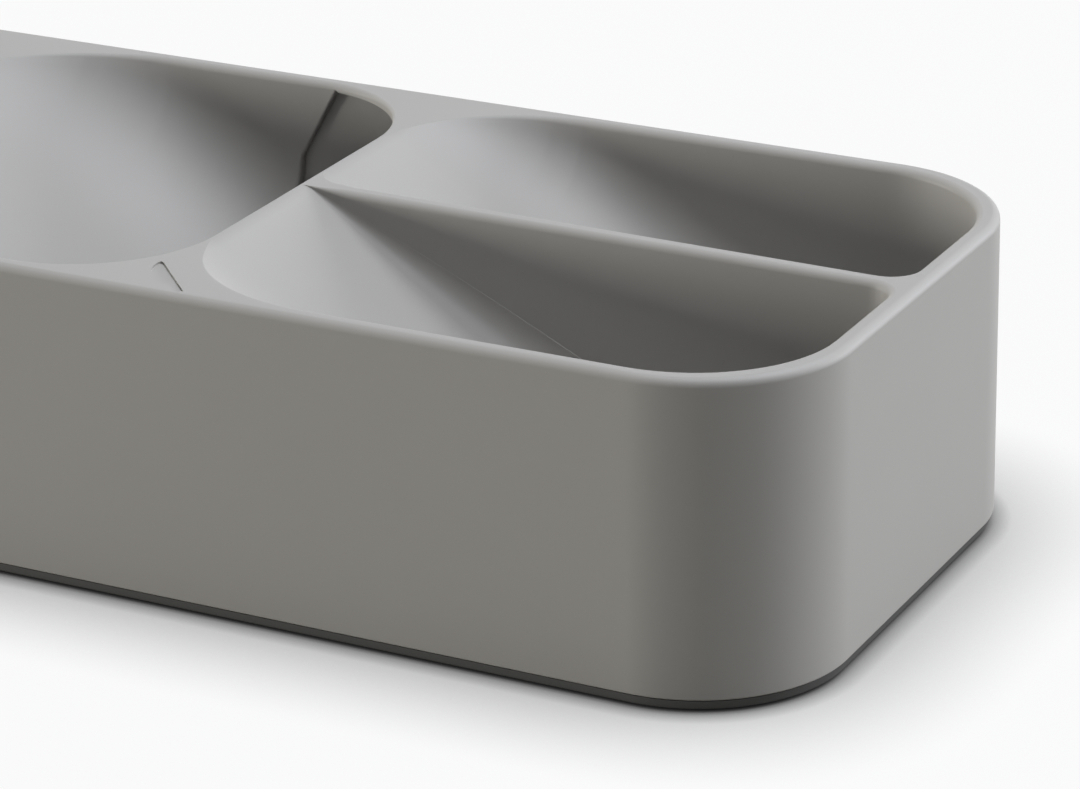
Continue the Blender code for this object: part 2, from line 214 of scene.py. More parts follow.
def bevel(
    bm: bmesh.types.BMesh, edges: list[bmesh.types.BMEdge], radius: float, segments: int
) -> None:
    """Rounds edges of a working mesh.

    Args:
        bm: the working mesh.
        edges: the edges.
        radius: the radius of the rounding.
        segments: how many flats make it up.
    """
    bmesh.ops.bevel(
        bm,
        geom=edges,
        offset=radius,
        offset_type="OFFSET",
        segments=segments,
        profile=0.5,
        affect="EDGES",
        clamp_overlap=True,
    )


def edges_at(bm: bmesh.types.BMesh, height: float) -> list[bmesh.types.BMEdge]:
    """The edges round the flat face at a height."""
    return [edge for edge in bm.edges if all(abs(vert.co.z - height) < WELD for vert in edge.verts)]


def rounded_block(
    length: float, width: float, low: float, high: float, draft: float, radius: float, segments: int
) -> bmesh.types.BMesh:
    """A block with rounded upright edges, whose left end is at x = 0.

    Args:
        length: its length at the foot.
        width: its width at the foot.
        low: the height of its lower face.
        high: the height of its upper face.
        draft: how far the upper face stands in, all round.
        radius: the radius of the upright edges.
        segments: how many flats make up each upright edge.

    Returns:
        The working mesh.
    """
    bm = bmesh.new()
    bmesh.ops.create_cube(bm, size=1)
    for vert in bm.verts:
        inset = draft if vert.co.z > 0 else 0
        vert.co.x = inset if vert.co.x < 0 else length - inset
        vert.co.y = math.copysign(width / 2 - inset, vert.co.y)
        vert.co.z = high if vert.co.z > 0 else low
    uprights = [edge for edge in bm.edges if edge.verts[0].co.z != edge.verts[1].co.z]
    bevel(bm, uprights, radius, segments)
    return bm


def loft(side_a: list[Section], side_b: list[Section], flat_ends: bool = False) -> bmesh.types.BMesh:
    """A closed mesh between two walls, each a list of sections with as many points.

    Args:
        side_a: the sections of one wall.
        side_b: the sections of the other.
        flat_ends: whether each end is closed by one flat face and not by a strip.

    Returns:
        The working mesh, with its faces pointing out.
    """
    bm = bmesh.new()
    sides = (side_a, side_b)
    a, b = ([[bm.verts.new(point) for point in section] for section in side] for side in sides)
    last = len(a) - 1
    for j in range(last):
        for side in (a, b):
            for k in range(len(side[j]) - 1):
                bm.faces.new((side[j][k], side[j + 1][k], side[j + 1][k + 1], side[j][k + 1]))
        for k in (0, -1):
            bm.faces.new((a[j][k], a[j + 1][k], b[j + 1][k], b[j][k]))
    for j in (0, last):
        if flat_ends:
            bm.faces.new(a[j] + b[j][::-1])
            continue
        for k in range(len(a[j]) - 1):
            bm.faces.new((a[j][k], a[j][k + 1], b[j][k + 1], b[j][k]))
    bmesh.ops.remove_doubles(bm, verts=bm.verts, dist=WELD)
    bmesh.ops.recalc_face_normals(bm, faces=bm.faces)
    return bm


def tube(rings: list[Section]) -> bmesh.types.BMesh:
    """A closed mesh through rings of as many points, with a flat face at each end.

    Args:
        rings: the rings, from one end to the other.

    Returns:
        The working mesh, with its faces pointing out.
    """
    bm = bmesh.new()
    made = [[bm.verts.new(point) for point in ring] for ring in rings]
    for first, second in zip(made, made[1:]):
        for k in range(len(first)):
            after = (k + 1) % len(first)
            bm.faces.new((first[k], second[k], second[after], first[after]))
    bm.faces.new(made[0])
    bm.faces.new(made[-1][::-1])
    bmesh.ops.recalc_face_normals(bm, faces=bm.faces)
    return bm


def carried(outline: Section, way: Point) -> bmesh.types.BMesh:
    """A closed mesh from a flat outline that is carried straight on.

    Args:
        outline: the outline's corners, in order.
        way: how far and where to it is carried.

    Returns:
        The working mesh, with its faces pointing out.
    """
    bm = bmesh.new()
    face = bm.faces.new([bm.verts.new(corner) for corner in outline])
    made = bmesh.ops.extrude_face_region(bm, geom=[face])["geom"]
    corners = [item for item in made if isinstance(item, bmesh.types.BMVert)]
    bmesh.ops.translate(bm, verts=corners, vec=way)
    bmesh.ops.recalc_face_normals(bm, faces=bm.faces)
    return bm


def prism(outline: Sequence[FlatPoint], half_width: float) -> bmesh.types.BMesh:
    """A closed mesh from an outline in the side view, carried from side to side."""
    return carried([(x, -half_width, z) for x, z in outline], (0, 2 * half_width, 0))


def plate(outline: Sequence[FlatPoint], low: float, high: float) -> bmesh.types.BMesh:
    """A closed mesh from an outline seen from above, between two heights."""
    return carried([(x, y, low) for x, y in outline], (0, 0, high - low))


def turned(profile: Sequence[FlatPoint], segments: int) -> bmesh.types.BMesh:
    """A closed mesh turned about the upright axis.

    Args:
        profile: radii and heights, of which the first and the last lie on the axis.
        segments: how many flats make up a full turn.

    Returns:
        The working mesh, with its faces pointing out.
    """
    bm = bmesh.new()
    verts = [bm.verts.new((radius, 0, height)) for radius, height in profile]
    edges = [bm.edges.new(pair) for pair in zip(verts, verts[1:])]
    bmesh.ops.spin(
        bm, geom=verts + edges, axis=(0, 0, 1), angle=math.tau, steps=segments, use_merge=True
    )
    bmesh.ops.remove_doubles(bm, verts=bm.verts, dist=WELD)
    bmesh.ops.recalc_face_normals(bm, faces=bm.faces)
    return bm


def carve(
    body: bpy.types.Object, cutters: Sequence[bpy.types.Object], carving: Carving = Carving.TAKE_AWAY
) -> None:
    """Cuts a body with each cutter in turn, keeps the result as its mesh and removes the cutters.

    Args:
        body: the object that is cut.
        cutters: the objects that cut it.
        carving: whether they are taken away from it or added to it.
    """
    for cutter in cutters:
        modifier = body.modifiers.new(cutter.name, "BOOLEAN")
        modifier.object = cutter
        modifier.operation = carving.value
        modifier.solver = "MANIFOLD"
    bpy.context.view_layer.update()
    evaluated = body.evaluated_get(bpy.context.evaluated_depsgraph_get())
    mesh = bpy.data.meshes.new_from_object(evaluated)
    body.modifiers.clear()
    old = body.data
    body.data = mesh
    bpy.data.meshes.remove(old)
    for cutter in cutters:
        spent = cutter.data
        bpy.data.objects.remove(cutter)
        bpy.data.meshes.remove(spent)


def smooth(piece: bpy.types.Object, sharp_angle: float = SHARP_ANGLE) -> None:
    """Shades a piece smooth, keeps its sharp edges and lets large flat faces stay flat.

    Args:
        piece: the piece.
        sharp_angle: edges that turn more than this stay sharp.
    """
    piece.data.shade_smooth()
    piece.data.set_sharp_from_angle(angle=sharp_angle)
    weights = piece.modifiers.new("weighted_normals", "WEIGHTED_NORMAL")
    weights.mode = "FACE_AREA"
    weights.keep_sharp = True


def direction(azimuth: float, elevation: float) -> Vector:
    """The way from the tray towards a place round it.

    Args:
        azimuth: the bearing in degrees; 0 is the near side, 90 the right end.
        elevation: the height over the floor in degrees.

    Returns:
        The way, of length 1.
    """
    bearing, rise = math.radians(azimuth), math.radians(elevation)
    level = math.cos(rise)
    return Vector((math.sin(bearing) * level, -math.cos(bearing) * level, math.sin(rise)))


def feed(tree: bpy.types.NodeTree, value: Value, socket: bpy.types.NodeSocket) -> None:
    """Gives a node's socket its value.

    Args:
        tree: the node tree.
        value: a number, or the socket that gives it.
        socket: the socket that takes it.
    """
    if isinstance(value, bpy.types.NodeSocket):
        tree.links.new(value, socket)
    else:
        socket.default_value = value


def worked_out(tree: bpy.types.NodeTree, kind: Sum, first: Value, second: Value) -> bpy.types.NodeSocket:
    """Works out a value from two others in a node tree.

    Args:
        tree: the node tree.
        kind: what is made of the two.
        first: the first value.
        second: the second value.

    Returns:
        The socket that gives the result.
    """
    node = tree.nodes.new("ShaderNodeMath")
    node.operation = kind.value
    feed(tree, first, node.inputs[0])
    feed(tree, second, node.inputs[1])
    return node.outputs[0]


@dataclass(frozen=True)
class MouldedPlastic:
    """A moulded plastic with a fine even grain, as a spark-eroded mould gives it."""

    name: str
    slot: str
    colour: Colour
    roughness: float
    specular: float = 0.5
    tone_spread: float = 0.03
    tone_size: float = 0.05
    tone_detail: float = 3.0
    gloss_spread: float = 0.05
    gloss_size: float = 0.02
    gloss_detail: float = 4.0
    grain_size: float = 0.00035
    grain_detail: float = 2.0
    grain_depth: float = 0.000012
    grain_strength: float = 0.25

    def material(self) -> bpy.types.Material:
        """Makes the material, or finds the one already made.

        Returns:
            The material.
        """
        made = bpy.data.materials.get(self.name)
        if made:
            return made
        made = bpy.data.materials.new(self.name)
        made.use_nodes = True
        made.diffuse_color = (*self.colour, 1)
        tree = made.node_tree
        shader = tree.nodes["Principled BSDF"]
        shader.inputs["Specular IOR Level"].default_value = self.specular
        tree.links.new(self.tone(tree), shader.inputs["Base Color"])
        tree.links.new(self.gloss(tree), shader.inputs["Roughness"])
        tree.links.new(self.grain(tree), shader.inputs["Normal"])
        return made

    def tone(self, tree: bpy.types.NodeTree) -> bpy.types.NodeSocket:
        """The colour, a little lighter in some places than in others.

        Args:
            tree: the material's node tree.

        Returns:
            The socket that gives the colour.
        """
        blend = tree.nodes.new("ShaderNodeMix")
        blend.data_type = "RGBA"
        for end, share in (("A", 1 - self.tone_spread), ("B", 1 + self.tone_spread)):
            blend.inputs[end].default_value = (*(value * share for value in self.colour), 1)
        tree.links.new(self.noise(tree, self.tone_size, self.tone_detail), blend.inputs["Factor"])
        return blend.outputs["Result"]

    def gloss(self, tree: bpy.types.NodeTree) -> bpy.types.NodeSocket:
        """The roughness, which varies a little round its middle.

        Args:
            tree: the material's node tree.

        Returns:
            The socket that gives the roughness.
        """
        fitted = tree.nodes.new("ShaderNodeMapRange")
        fitted.inputs["To Min"].default_value = self.roughness - self.gloss_spread
        fitted.inputs["To Max"].default_value = self.roughness + self.gloss_spread
        tree.links.new(self.noise(tree, self.gloss_size, self.gloss_detail), fitted.inputs["Value"])
        return fitted.outputs["Result"]

    def grain(self, tree: bpy.types.NodeTree) -> bpy.types.NodeSocket:
        """The fine grain of the mould.

        Args:
            tree: the material's node tree.

        Returns:
            The socket that gives the direction that the surface faces.
        """
        bump = tree.nodes.new("ShaderNodeBump")
        bump.inputs["Strength"].default_value = self.grain_strength
        bump.inputs["Distance"].default_value = self.grain_depth
        tree.links.new(self.noise(tree, self.grain_size, self.grain_detail), bump.inputs["Height"])
        return bump.outputs["Normal"]

    def noise(self, tree: bpy.types.NodeTree, size: float, detail: float) -> bpy.types.NodeSocket:
        """Adds a noise that is fixed to the piece.

        Args:
            tree: the material's node tree.
            size: how large its features are.
            detail: how many finer layers it has.

        Returns:
            The socket that gives its value.
        """
        where = tree.nodes.new("ShaderNodeTexCoord")
        made = tree.nodes.new("ShaderNodeTexNoise")
        made.inputs["Scale"].default_value = 1 / size
        made.inputs["Detail"].default_value = detail
        tree.links.new(where.outputs["Object"], made.inputs["Vector"])
        return made.outputs["Fac"]

    def put_on(self, piece: bpy.types.Object) -> None:
        """Gives a piece this finish.

        Args:
            piece: the piece.
        """
        piece.data.materials.clear()
        piece.data.materials.append(self.material())


TRAY_PLASTIC = MouldedPlastic("warm_grey_satin", "warm_grey_plastic", (0.396, 0.387, 0.368), 0.55, 0.55)
PANEL_PLASTIC = MouldedPlastic("dark_grey_matt", "dark_grey_plastic", (0.055, 0.055, 0.052), 0.55)
RUBBER = MouldedPlastic("black_rubber_matt", "black_rubber", (0.02, 0.02, 0.02), 0.75)


@dataclass(frozen=True)
class Fillet:
    """A fillet whose height eases with the depth of the floor below the rim until it settles.

    Its section is part of an ellipse, so many times as wide as it is high.
    """

    start: float
    settled: float
    settles_at: float
    stretch: float = 1.0

    def radius(self, depth: float) -> float:
        """The height of the fillet where the floor lies this deep."""
        rest = 1 - min(depth / self.settles_at, 1)
        return self.settled + (self.start - self.settled) * rest * rest


@dataclass
class Slope:
    """A compartment floor seen from the side: a rounded crest, then a straight slope to its toe."""

    crest: float
    toe: float
    foot_height: float
    rim_height: float
    skin: float
    ends: FloorEnd = FloorEnd.TOE
    crest_radius: float = 0.006
    entry_angle: float = math.radians(6)
    level_radius: float = 0.010
    centre: float = field(init=False)
    centre_height: float = field(init=False)
    angle: float = field(init=False)
    crest_end: float = field(init=False)
    blend_start: float = field(init=False)
    blend_end: float = field(init=False)

    def __post_init__(self) -> None:
        """Works out the tangent from the crest's arc to the toe."""
        self.centre = self.crest - self.crest_radius * math.sin(self.entry_angle)
        self.centre_height = self.rim_height - self.crest_radius * math.cos(self.entry_angle)
        reach = self.toe - self.centre
        drop = self.centre_height - self.foot_height
        self.angle = math.atan2(drop, reach) + math.asin(self.crest_radius / math.hypot(reach, drop))
        self.crest_end = self.centre + self.crest_radius * math.sin(self.angle)
        levels_out = self.ends is FloorEnd.LEVEL
        blend = self.level_radius * math.tan(self.angle / 2) if levels_out else 0
        self.blend_start = self.toe - blend * math.cos(self.angle)
        self.blend_end = self.toe + blend

    def slope_angle(self, x: float) -> float:
        """How steeply the floor falls at x.

        Args:
            x: the place along the tray.

        Returns:
            The angle below the level.
        """
        if x < self.crest:
            return self.entry_angle
        if x < self.crest_end:
            return math.asin((x - self.centre) / self.crest_radius)
        if self.ends is FloorEnd.LEVEL and x > self.blend_start:
            return math.asin(max(self.blend_end - x, 0) / self.level_radius)
        return self.angle

    def height(self, x: float) -> float:
        """Height of the floor at x, carried on above the rim in front of the crest.

        Args:
            x: the place along the tray.

        Returns:
            The height.
        """
        angle = self.slope_angle(x)
        if x < self.crest:
            return self.rim_height + (self.crest - x) * math.tan(angle)
        if x < self.crest_end:
            return self.centre_height + self.crest_radius * math.cos(angle)
        if self.ends is FloorEnd.LEVEL and x > self.blend_start:
            return self.foot_height + self.level_radius * (1 - math.cos(angle))
        return self.foot_height + (self.toe - x) * math.tan(angle)

    def underside(self, x: float) -> float:
        """Height of the lower face of the floor and of the rim plate before it.

        Args:
            x: the place along the tray.

        Returns:
            The height.
        """
        inner_radius = self.crest_radius - self.skin
        if x < self.centre + inner_radius * math.sin(self.angle):
            across = max(x - self.centre, 0)
            arc = self.centre_height + math.sqrt(inner_radius**2 - across**2)
            return min(arc, self.rim_height - self.skin)
        line = self.foot_height + (self.toe - x) * math.tan(self.angle)
        return line - self.skin / math.cos(self.angle)

    def where_deep(self, depth: float) -> float:
        """The x at which the straight slope lies this deep below the rim."""
        return self.toe - (self.rim_height - depth - self.foot_height) / math.tan(self.angle)

    def where_underside(self, height: float) -> float:
        """The x at which the lower face of the straight slope is this high."""
        above = height + self.skin / math.cos(self.angle) - self.foot_height
        return self.toe - above / math.tan(self.angle)


@dataclass(frozen=True)
class WallLine:
    """One long wall of a compartment in plan, between a start corner and an end corner."""

    face: float
    toward: int
    start: float
    end: float
    start_radius: float
    end_radius: float
    end_face: float
    fillet: Fillet
    end_fillet: float
    fade_radius: float
    edge_round: float
    end_edge_round: float
    lip: float = 0.0

    def outline(self, x: float) -> tuple[float, FlatPoint]:
        """The wall in plan at x.

        Args:
            x: the place along the tray.

        Returns:
            The wall's y, and the level direction from it into the compartment.
        """
        face = self.face + (self.end_face - self.face) * (x - self.start) / (self.end - self.start)
        before = self.start + self.start_radius - x
        after = x - (self.end - self.end_radius)
        if self.start_radius > 0 and before > 0:
            along = min(before / self.start_radius, 1)
            radius = self.start_radius
            inward = along
        elif after > 0:
            along = min(after / self.end_radius, 1)
            radius = self.end_radius
            inward = -along
        else:
            return face, (0, -self.toward)
        across = math.sqrt(1 - along**2)
        return face - self.toward * radius * (1 - across), (inward, -self.toward * across)

    def end_share(self, x: float) -> float:
        """How far the fillet has changed to the one at the end wall.

        Args:
            x: the place along the tray.

        Returns:
            The share, from 0 to 1.
        """
        fade_start = self.end - self.fade_radius
        fade_end = self.end - (self.end_radius if self.end_radius < self.fade_radius else 0)
        return min(max((x - fade_start) / (fade_end - fade_start), 0), 1)

    def fillet_at(self, x: float, depth: float) -> tuple[float, float]:
        """The fillet's height at x and how many times as wide it is.

        Args:
            x: the place along the tray.
            depth: how deep the floor lies there.

        Returns:
            The height and the stretch.
        """
        share = self.end_share(x)
        radius = self.fillet.radius(depth)
        if share > 0:
            radius = min(radius, self.fillet.settled + share * (self.end_fillet - self.fillet.settled))
        return radius, 1 + (self.fillet.stretch - 1) * (1 - share)

    def rim_round(self, inward_x: float) -> float:
        """The rounding of the rim where the wall faces this much along the tray."""
        return self.edge_round + (self.end_edge_round - self.edge_round) * max(-inward_x, 0)


@dataclass(frozen=True)
class Pictogram:
    """A utensil sunk into the rim plate at the near end of the edge between two rows.

    It lies aslant, with its tip inwards and its handle running out towards the near rim.
    """

    utensil: Utensil
    length: float = 0.0146
    handle_width: float = 0.00135
    blade_width: float = 0.00305
    depth: float = 0.00035
    slant: float = math.radians(-46.2)
    tip_x: float = -0.0012
    tip_y: float = -0.0419
    curve_steps: int = 8

    def curve(self, *points: FlatPoint) -> list[FlatPoint]:
        """The points of a cubic curve, without its first."""
        return [bezier(points, part) for part in stops(0, 1, self.curve_steps)][1:]

    def knife(self) -> list[FlatPoint]:
        """A table knife: a straight spine, a full belly and a narrower handle.

        Returns:
            The corners of its outline: how far from the tip, and how far across.
        """
        long, handle, blade = self.length, self.handle_width, self.blade_width
        tip = (0.07 * long, 0.0)
        shoulder = (0.16 * long, 0.75 * blade)
        heel = (0.63 * long, blade)
        neck = (0.78 * long, handle)
        points = [(long, 0.0), tip]
        points += self.curve(tip, (-0.5 * handle, 0), (0.3 * handle, 0.4 * blade), shoulder)
        points += self.curve(shoulder, (0.26 * long, blade), (0.45 * long, 1.02 * blade), heel)
        points += self.curve(heel, (0.71 * long, blade), (0.7 * long, handle), neck)
        return points + [(long, handle)]

    def spoon(self) -> list[FlatPoint]:
        """A spoon: an egg-shaped bowl on a handle.

        Returns:
            The corners of its outline: how far from the tip, and how far across.
        """
        long, middle, half = self.length, self.blade_width / 2, self.handle_width / 2
        bowl = 0.72 * self.blade_width
        tip = (0.0, 0.0)
        belly = (0.22 * long, bowl)
        neck = (0.52 * long, half)
        side = [tip]
        side += self.curve(tip, (0, 0.9 * bowl), (0.12 * long, bowl), belly)
        side += self.curve(belly, (0.34 * long, bowl), (0.42 * long, half), neck)
        side.append((long, half))
        return [(u, middle + w) for u, w in side] + [(u, middle - w) for u, w in side[:0:-1]]

    def fork(self) -> list[FlatPoint]:
        """A fork: three tines on a shoulder that narrows to a handle.

        Returns:
            The corners of its outline: how far from the tip, and how far across.
        """
        long, middle, half = self.length, self.blade_width / 2, self.handle_width / 2
        head = 0.62 * self.blade_width
        tine = head / 2.5
        root = 0.27 * long
        shoulder = (root, head)
        neck = (0.55 * long, half)
        side = [(0.0, tine / 2), (root, tine / 2)]
        side += [(root, head - tine), (0.0, head - tine), (0.0, head), shoulder]
        side += self.curve(shoulder, (0.42 * long, head), (0.4 * long, half), neck)
        side.append((long, half))
        return [(u, middle + w) for u, w in side] + [(u, middle - w) for u, w in side[::-1]]

    def space(self, row_start: float, top: float, overrun: float) -> bmesh.types.BMesh:
        """The space that is sunk into the plate.

        Args:
            row_start: where the next row starts.
            top: the height of the plate.
            overrun: how far the space reaches above it.

        Returns:
            The working mesh.
        """
        drawings = {Utensil.KNIFE: self.knife, Utensil.FORK: self.fork, Utensil.SPOON: self.spoon}
        turn_x, turn_y = math.cos(self.slant), math.sin(self.slant)
        outline = [
            (row_start + self.tip_x + u * turn_x + w * turn_y, self.tip_y + u * turn_y - w * turn_x)
            for u, w in drawings[self.utensil]()
        ]
        return plate(outline, top - self.depth, top + overrun)


@dataclass
class Tray:
    """The moulded tray, which replaces the tray's solid. Its outer sizes are read from the frame."""

    node: str = "tray_body"
    finish: MouldedPlastic = TRAY_PLASTIC

    # The outer form and the rim
    wall_draft: float = 0.00045
    outer_corner_radius: float = 0.0258
    rim_width: float = 0.0036
    outer_rim_round: float = 0.00145
    inner_rim_round: float = 0.0013
    row_edge_round: float = 0.0004
    wall_foot_round: float = 0.0003

    # The rows and their floors
    large_row_count: int = 3
    last_row_length: float = 0.1131
    skin: float = 0.0015
    crest_inset: float = 0.0006
    end_corner_radius: float = 0.0235
    toe_gap: float = 0.0053
    toe_height: float = 0.0035

    # The fillets between walls and floors; in the photograph the long ones are wider than high
    row_fillet: Fillet = Fillet(0.022, 0.022, 0.022, 1.6)
    row_fillet_fade: float = 0.045
    end_row_fillet: Fillet = Fillet(0.0155, 0.0155, 0.0155, 1.4)
    end_wall_fillet: float = 0.0045
    divider_fillet: Fillet = Fillet(0.0, 0.010, 0.060)
    divider_end_fillet: float = 0.0045

    # The divider and the level floor of the end row
    divider_thickness: float = 0.0036
    divider_start_offset: float = 0.00215
    divider_end_offset: float = 0.00015
    divider_corner_radius: float = 0.005
    divider_lip: float = 0.00012
    level_floor: float = 0.0039
    level_floor_start: float = 0.023

    # The pockets under the floors, and the slanted mouths, which are placed from the next row
    pocket_side_step: float = 0.0013
    pocket_rise: float = 0.00004
    pocket_fillet_share: float = 7.0
    mouth_top: float = 0.0210
    mouth_knee: float = 0.0284
    mouth_knee_height: float = 0.0403
    mouth_foot: float = 0.031
    mouth_edge_round: float = 0.0005
    mouth_edge_start: float = 0.12  # share of the edge's lower part at which it begins to be rounded
    mouth_edge_end: float = 1.02  # share of its upper part at which the rounding ends

    # The pictograms on the rim plates, from the left
    pictograms: tuple[Pictogram, ...] = (
        Pictogram(Utensil.FORK),
        Pictogram(Utensil.SPOON),
        Pictogram(Utensil.KNIFE),
    )

    # Shared by all cuts
    joint_gap: float = 0.0003
    overrun: float = 0.001
    lap: float = 0.0005
    relief: float = 0.00005
    least_step: float = 0.000125
    rim_edge_share: float = 0.3

    # How finely the curves are divided
    outer_corner_segments: int = 40
    corner_segments: int = 30
    round_segments: int = 7
    foot_round_segments: int = 3
    fillet_segments: int = 14
    mouth_edge_segments: int = 5
    mouth_edge_steps: int = 14
    mouth_top_steps: int = 10
    station_step: float = 0.0025
    crest_step: float = 0.0003
    soft_start: float = 0.020
    soft_step: float = 0.0008

    # Read from the frame, or worked out from the sizes above
    length: float = field(init=False)
    width: float = field(init=False)
    bottom: float = field(init=False)
    height: float = field(init=False)
    inner_side: float = field(init=False)
    inner_left: float = field(init=False)
    inner_right: float = field(init=False)
    pocket_side: float = field(init=False)
    below: float = field(init=False)
    pocket_low: float = field(init=False)
    row_starts: list[float] = field(init=False)

    def __post_init__(self) -> None:
        """Reads the outer sizes from the frame and works out the walls."""
        low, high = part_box(self.node)
        self.length = high.x - low.x
        self.width = high.y - low.y
        self.bottom = low.z
        self.height = high.z
        self.inner_side = self.width / 2 - self.wall_draft - self.rim_width
        self.inner_left = self.wall_draft + self.rim_width
        self.inner_right = self.length - self.wall_draft - self.rim_width
        self.pocket_side = self.inner_side + self.pocket_side_step
        self.below = self.bottom - self.overrun
        self.pocket_low = self.below - self.overrun
        pitch = (self.length - self.last_row_length) / self.large_row_count
        self.row_starts = [pitch * row for row in range(self.large_row_count + 1)]

    def large_floor(self, row: int) -> Slope:
        """The floor of a full-width compartment.

        Args:
            row: the compartment's row, 0 at the left end.

        Returns:
            The floor.
        """
        crest = self.inner_left if row == 0 else self.row_starts[row] + self.crest_inset
        toe = self.row_starts[row + 1] - self.toe_gap
        return Slope(crest, toe, self.toe_height, self.height, self.skin)

    def last_floor(self) -> Slope:
        """The floor of the end row, which levels out before the end wall.

        Returns:
            The floor.
        """
        crest = self.row_starts[-1] + self.crest_inset
        toe = self.length - self.level_floor_start
        return Slope(crest, toe, self.level_floor, self.height, self.skin, FloorEnd.LEVEL)

    def floors(self) -> list[Slope]:
        """The floors of all rows, from the left end."""
        return [self.large_floor(row) for row in range(self.large_row_count)] + [self.last_floor()]

    def wall_section(self, floor: Slope, line: WallLine, x: float, lift: float) -> Section:
        """Points from above the rim down one wall and round its fillet to the floor.

        Args:
            floor: the compartment's floor.
            line: the wall in plan.
            x: the place along the tray.
            lift: how far the space ends above the floor.

        Returns:
            The points, as many at every station.
        """
        y, (in_x, in_y) = line.outline(x)
        height = floor.height(x) + lift
        depth = self.height - height
        above = self.height + self.overrun
        if depth <= 0:
            y += in_y * line.fillet.radius(0) * line.fillet.stretch
            count = self.round_segments + self.fillet_segments + 3  # as many points as at other stations
            return [(x, y, above)] + [(x, y, height)] * count
        curve = self.fillet_curve(floor, line, x, lift)
        edge_part, rim_curve = self.rim_bend(curve, line.rim_round(in_x), depth)
        lip = line.lip * smoothstep(line.fillet_at(x, depth)[0] / line.fillet.settled)
        points = [(rim_curve[0][0], above)]
        points += [bezier(rim_curve, part) for part in stops(0, 1, self.round_segments)]
        points.append((0.0, min(curve[0][1] + lip, rim_curve[-1][1])) if lip > 0 else points[-1])
        fillet = [bezier(curve, part) for part in stops(edge_part, 1, self.fillet_segments)]
        points += [(inward + lip, z) for inward, z in fillet]
        return [(x + in_x * inward, y + in_y * inward, z) for inward, z in points]

    def fillet_curve(self, floor: Slope, line: WallLine, x: float, lift: float) -> list[FlatPoint]:
        """The whole fillet from the wall down to the floor, as if the wall went on above the rim.

        Args:
            floor: the compartment's floor.
            line: the wall in plan.
            x: the place along the tray.
            lift: how far the space ends above the floor.

        Returns:
            The curve's four control points, as distance from the wall and height.
        """
        in_x = line.outline(x)[1][0]
        height = floor.height(x) + lift
        radius, stretch = line.fillet_at(x, self.height - height)
        fall = math.atan(math.tan(floor.slope_angle(x)) * max(in_x, 0))
        rise = radius * (1 - math.sin(fall))
        top = height + rise / math.cos(fall)
        reach = rise * stretch
        foot = floor.height(x + in_x * reach) + lift
        fall_there = math.atan(math.tan(floor.slope_angle(x + in_x * reach)) * max(in_x, 0))
        pull = ARC_PULL * math.tan((QUARTER - fall) / 4) * radius
        foot_pull = (reach - pull * stretch * math.cos(fall_there), foot + pull * math.sin(fall_there))
        return [(0.0, top), (0.0, top - pull), foot_pull, (reach, foot)]

    def rim_bend(
        self, curve: Sequence[FlatPoint], rounding: float, depth: float
    ) -> tuple[float, list[FlatPoint]]:
        """The rounded edge where a fillet meets the rim.

        Args:
            curve: the fillet's control points.
            rounding: the radius of the edge.
            depth: how deep the floor lies there.

        Returns:
            The share of the fillet at which the edge ends, and the edge's four control points.
        """
        cut = part_at(curve, self.height)
        steep = steepness(curve, cut)
        edge = min(rounding * math.tan(steep / 2), self.rim_edge_share * depth / math.sin(steep))
        edge_foot = self.height - edge * math.sin(steep)
        edge_part = part_at(curve, edge_foot)
        corner = (bezier(curve, cut)[0], self.height)
        bend = ARC_PULL * math.tan(steep / 4) / math.tan(steep / 2)
        ends = ((corner[0] - edge, self.height), (bezier(curve, edge_part)[0], edge_foot))
        pulls = [tuple(e + bend * (c - e) for e, c in zip(end, corner)) for end in ends]
        return edge_part, [ends[0], *pulls, ends[1]]

    def stations(self, floor: Slope, end: float, fillets: Sequence[Fillet]) -> list[float]:
        """Places along a compartment, close together where it curves.

        Args:
            floor: the compartment's floor.
            end: where the compartment ends.
            fillets: the fillets along its walls.

        Returns:
            The places, in no order.
        """
        start = floor.crest
        places = [start - self.lap]
        first = end - self.end_corner_radius
        turns = stops(0, QUARTER, self.corner_segments)
        places += [first + self.end_corner_radius * math.sin(angle) for angle in turns]
        crest_count = math.ceil((floor.crest_end - start) / self.crest_step)
        places += stops(start, floor.crest_end, crest_count)[1:]
        soft = floor.crest_end + self.soft_start
        places += stops(floor.crest_end, soft, math.ceil(self.soft_start / self.soft_step))
        places += stops(soft, first, math.ceil((first - soft) / self.station_step))
        if floor.ends is FloorEnd.LEVEL:
            places += stops(floor.blend_start, floor.blend_end, self.fillet_segments)
        settled = [floor.where_deep(fillet.settles_at) for fillet in fillets]
        return places + [place for place in settled if floor.crest_end < place < end]

    def outer_line(self, toward: Toward, start: float, end: float, start_radius: float = 0) -> WallLine:
        """The outer wall of a compartment in plan.

        Args:
            toward: the side that it lies on.
            start: where the compartment starts.
            end: where it ends.
            start_radius: the radius of its start corner; 0 for none.

        Returns:
            The wall in plan.
        """
        side = toward.value
        return WallLine(
            face=side * self.inner_side,
            toward=side,
            start=start,
            end=end,
            start_radius=start_radius,
            end_radius=self.end_corner_radius,
            end_face=side * self.inner_side,
            fillet=self.row_fillet,
            end_fillet=self.row_fillet.settled,
            fade_radius=self.row_fillet_fade,
            edge_round=self.inner_rim_round,
            end_edge_round=self.row_edge_round,
        )

